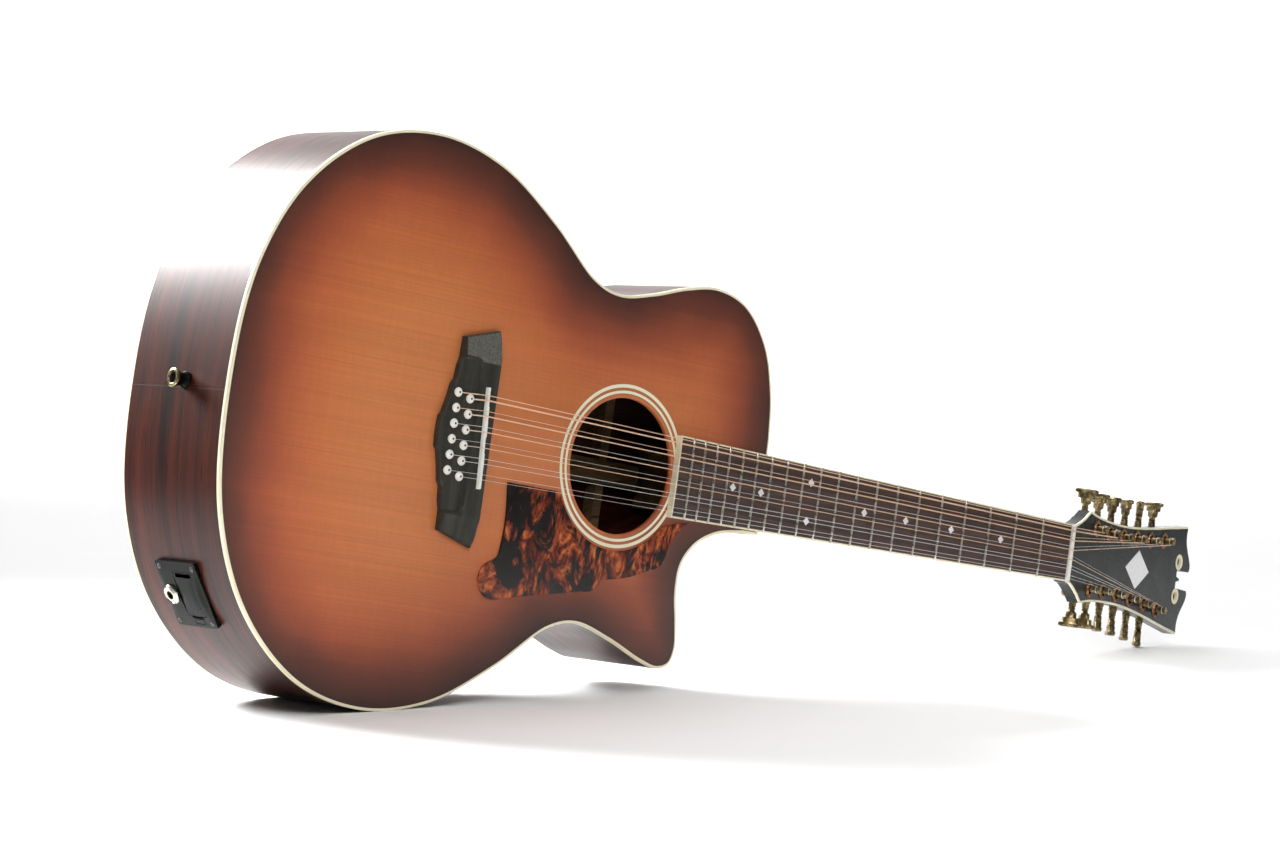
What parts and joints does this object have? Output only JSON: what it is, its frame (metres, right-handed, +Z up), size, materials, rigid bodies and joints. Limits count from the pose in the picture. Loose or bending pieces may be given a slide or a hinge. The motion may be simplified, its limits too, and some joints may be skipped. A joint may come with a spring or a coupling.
{
  "type": "acoustic guitar",
  "caption": "Twelve-string cutaway acoustic-electric guitar with sunburst top, tortoise guard, geared tuners and a hinged battery door, standing on its side.",
  "frame": {"origin": "bottom centre of the box around the guitar as it stands on its lower bout and last treble tuner button", "axes": "+X from the tail towards the headstock, -Y out of the soundboard, +Z up towards the bass side"},
  "size_m": [1.1232, 0.1272, 0.4056],
  "materials": {
    "spruce": "satin sunburst lacquer over close spruce grain, orange centre to dark brown edges",
    "mahogany": "satin dark stain with ribbon stripes",
    "cream_plastic": "satin aged cream",
    "tortoise": "polished, dark with orange flames",
    "ebony": "satin, fine open grain",
    "bone": "polished bone",
    "rosewood": "open grain, oiled",
    "neck_wood": "satin dark stain",
    "bare_spruce": "raw wood",
    "antique_nickel": "polished",
    "aged_brass": "aged, satin",
    "black_plastic": "fine satin",
    "wound_string": "bronze wire wound on steel",
    "plain_string": "plain steel wire"
  },
  "bodies": {
    "guitar": {"top": "spruce", "back": "mahogany", "bass_side": "mahogany", "treble_side": "mahogany", "binding_front": "cream_plastic", "binding_back": "cream_plastic", "rosette": "cream_plastic", "pickguard": "tortoise", "bridge": "ebony", "saddle": "bone", "nut": "bone", "fingerboard": "rosewood", "neck": "neck_wood", "headstock_veneer": "ebony", "top_bracing": "bare_spruce", "back_bracing": "bare_spruce", "neck_block": "bare_spruce", "tail_block": "bare_spruce", "strap_button": "antique_nickel", "jack_plate": "black_plastic", "output_jack": "antique_nickel", "machine_plate_bass": "aged_brass", "machine_plate_treble": "aged_brass", "string_1": "wound_string", "string_2": "wound_string", "string_3": "wound_string", "string_4": "wound_string", "string_5": "plain_string", "string_6": "wound_string", "string_7": "plain_string", "string_8": "wound_string", "string_9": "plain_string", "string_10": "plain_string", "string_11": "plain_string", "string_12": "plain_string"},
    "tuner_button_bass_1": {"tuner_button_bass_1": "aged_brass"},
    "tuner_post_bass_1": {"tuner_post_bass_1": "aged_brass"},
    "tuner_button_bass_2": {"tuner_button_bass_2": "aged_brass"},
    "tuner_post_bass_2": {"tuner_post_bass_2": "aged_brass"},
    "tuner_button_bass_3": {"tuner_button_bass_3": "aged_brass"},
    "tuner_post_bass_3": {"tuner_post_bass_3": "aged_brass"},
    "tuner_button_bass_4": {"tuner_button_bass_4": "aged_brass"},
    "tuner_post_bass_4": {"tuner_post_bass_4": "aged_brass"},
    "tuner_button_bass_5": {"tuner_button_bass_5": "aged_brass"},
    "tuner_post_bass_5": {"tuner_post_bass_5": "aged_brass"},
    "tuner_button_bass_6": {"tuner_button_bass_6": "aged_brass"},
    "tuner_post_bass_6": {"tuner_post_bass_6": "aged_brass"},
    "tuner_button_treble_1": {"tuner_button_treble_1": "aged_brass"},
    "tuner_post_treble_1": {"tuner_post_treble_1": "aged_brass"},
    "tuner_button_treble_2": {"tuner_button_treble_2": "aged_brass"},
    "tuner_post_treble_2": {"tuner_post_treble_2": "aged_brass"},
    "tuner_button_treble_3": {"tuner_button_treble_3": "aged_brass"},
    "tuner_post_treble_3": {"tuner_post_treble_3": "aged_brass"},
    "tuner_button_treble_4": {"tuner_button_treble_4": "aged_brass"},
    "tuner_post_treble_4": {"tuner_post_treble_4": "aged_brass"},
    "tuner_button_treble_5": {"tuner_button_treble_5": "aged_brass"},
    "tuner_post_treble_5": {"tuner_post_treble_5": "aged_brass"},
    "tuner_button_treble_6": {"tuner_button_treble_6": "aged_brass"},
    "tuner_post_treble_6": {"tuner_post_treble_6": "aged_brass"},
    "battery_door": {"battery_door": "black_plastic"}
  },
  "joints": [
    {"name": "bass_1_button_turn", "type": "hinge", "parent": "guitar", "child": "tuner_button_bass_1", "pos_m": [0.37073, -0.02145, 0.1105], "axis": [0.1493, 0, 0.9888], "continuous": true},
    {"name": "bass_1_post_turn", "type": "hinge", "parent": "guitar", "child": "tuner_post_bass_1", "pos_m": [0.36716, -0.04043, 0.11104], "axis": [0.2559, -0.9659, -0.0386], "continuous": true},
    {"name": "bass_2_button_turn", "type": "hinge", "parent": "guitar", "child": "tuner_button_bass_2", "pos_m": [0.39599, -0.01457, 0.10567], "axis": [0.1493, 0, 0.9888], "continuous": true},
    {"name": "bass_2_post_turn", "type": "hinge", "parent": "guitar", "child": "tuner_post_bass_2", "pos_m": [0.39242, -0.03355, 0.10621], "axis": [0.2559, -0.9659, -0.0386], "continuous": true},
    {"name": "bass_3_button_turn", "type": "hinge", "parent": "guitar", "child": "tuner_button_bass_3", "pos_m": [0.42295, -0.00727, 0.1018], "axis": [0.1493, 0, 0.9888], "continuous": true},
    {"name": "bass_3_post_turn", "type": "hinge", "parent": "guitar", "child": "tuner_post_bass_3", "pos_m": [0.41938, -0.02625, 0.10234], "axis": [0.2559, -0.9659, -0.0386], "continuous": true},
    {"name": "bass_4_button_turn", "type": "hinge", "parent": "guitar", "child": "tuner_button_bass_4", "pos_m": [0.45035, 0.00011, 0.09888], "axis": [0.1493, 0, 0.9888], "continuous": true},
    {"name": "bass_4_post_turn", "type": "hinge", "parent": "guitar", "child": "tuner_post_bass_4", "pos_m": [0.44678, -0.01887, 0.09942], "axis": [0.2559, -0.9659, -0.0386], "continuous": true},
    {"name": "bass_5_button_turn", "type": "hinge", "parent": "guitar", "child": "tuner_button_bass_5", "pos_m": [0.4788, 0.00774, 0.09641], "axis": [0.1493, 0, 0.9888], "continuous": true},
    {"name": "bass_5_post_turn", "type": "hinge", "parent": "guitar", "child": "tuner_post_bass_5", "pos_m": [0.47523, -0.01124, 0.09694], "axis": [0.2559, -0.9659, -0.0386], "continuous": true},
    {"name": "bass_6_button_turn", "type": "hinge", "parent": "guitar", "child": "tuner_button_bass_6", "pos_m": [0.50687, 0.01525, 0.0947], "axis": [0.1493, 0, 0.9888], "continuous": true},
    {"name": "bass_6_post_turn", "type": "hinge", "parent": "guitar", "child": "tuner_post_bass_6", "pos_m": [0.5033, -0.00373, 0.09523], "axis": [0.2559, -0.9659, -0.0386], "continuous": true},
    {"name": "treble_1_button_turn", "type": "hinge", "parent": "guitar", "child": "tuner_button_treble_1", "pos_m": [0.36303, -0.02145, 0.05948], "axis": [-0.1493, 0, -0.9888], "continuous": true},
    {"name": "treble_1_post_turn", "type": "hinge", "parent": "guitar", "child": "tuner_post_treble_1", "pos_m": [0.35946, -0.04043, 0.06002], "axis": [0.2559, -0.9659, -0.0386], "continuous": true},
    {"name": "treble_2_button_turn", "type": "hinge", "parent": "guitar", "child": "tuner_button_treble_2", "pos_m": [0.38858, -0.01457, 0.05663], "axis": [-0.1493, 0, -0.9888], "continuous": true},
    {"name": "treble_2_post_turn", "type": "hinge", "parent": "guitar", "child": "tuner_post_treble_2", "pos_m": [0.38501, -0.03355, 0.05717], "axis": [0.2559, -0.9659, -0.0386], "continuous": true},
    {"name": "treble_3_button_turn", "type": "hinge", "parent": "guitar", "child": "tuner_button_treble_3", "pos_m": [0.41548, -0.00727, 0.05237], "axis": [-0.1493, 0, -0.9888], "continuous": true},
    {"name": "treble_3_post_turn", "type": "hinge", "parent": "guitar", "child": "tuner_post_treble_3", "pos_m": [0.41192, -0.02625, 0.0529], "axis": [0.2559, -0.9659, -0.0386], "continuous": true},
    {"name": "treble_4_button_turn", "type": "hinge", "parent": "guitar", "child": "tuner_button_treble_4", "pos_m": [0.44253, 0.00011, 0.04707], "axis": [-0.1493, 0, -0.9888], "continuous": true},
    {"name": "treble_4_post_turn", "type": "hinge", "parent": "guitar", "child": "tuner_post_treble_4", "pos_m": [0.43896, -0.01887, 0.04761], "axis": [0.2559, -0.9659, -0.0386], "continuous": true},
    {"name": "treble_5_button_turn", "type": "hinge", "parent": "guitar", "child": "tuner_button_treble_5", "pos_m": [0.47043, 0.00774, 0.04103], "axis": [-0.1493, 0, -0.9888], "continuous": true},
    {"name": "treble_5_post_turn", "type": "hinge", "parent": "guitar", "child": "tuner_post_treble_5", "pos_m": [0.46686, -0.01124, 0.04157], "axis": [0.2559, -0.9659, -0.0386], "continuous": true},
    {"name": "treble_6_button_turn", "type": "hinge", "parent": "guitar", "child": "tuner_button_treble_6", "pos_m": [0.49776, 0.01525, 0.03438], "axis": [-0.1493, 0, -0.9888], "continuous": true},
    {"name": "treble_6_post_turn", "type": "hinge", "parent": "guitar", "child": "tuner_post_treble_6", "pos_m": [0.49419, -0.00373, 0.03492], "axis": [0.2559, -0.9659, -0.0386], "continuous": true},
    {"name": "battery_door_hinge", "type": "hinge", "parent": "guitar", "child": "battery_door", "pos_m": [-0.54637, 0.0024, 0.09772], "axis": [0, 1, 0], "range_deg": [0, 100]}
  ],
  "couplings": [
    {"joint": "bass_1_post_turn", "follows": "bass_1_button_turn", "ratio": 0.0714},
    {"joint": "bass_2_post_turn", "follows": "bass_2_button_turn", "ratio": 0.0714},
    {"joint": "bass_3_post_turn", "follows": "bass_3_button_turn", "ratio": 0.0714},
    {"joint": "bass_4_post_turn", "follows": "bass_4_button_turn", "ratio": 0.0714},
    {"joint": "bass_5_post_turn", "follows": "bass_5_button_turn", "ratio": 0.0714},
    {"joint": "bass_6_post_turn", "follows": "bass_6_button_turn", "ratio": 0.0714},
    {"joint": "treble_1_post_turn", "follows": "treble_1_button_turn", "ratio": 0.0714},
    {"joint": "treble_2_post_turn", "follows": "treble_2_button_turn", "ratio": 0.0714},
    {"joint": "treble_3_post_turn", "follows": "treble_3_button_turn", "ratio": 0.0714},
    {"joint": "treble_4_post_turn", "follows": "treble_4_button_turn", "ratio": 0.0714},
    {"joint": "treble_5_post_turn", "follows": "treble_5_button_turn", "ratio": 0.0714},
    {"joint": "treble_6_post_turn", "follows": "treble_6_button_turn", "ratio": 0.0714}
  ]
}
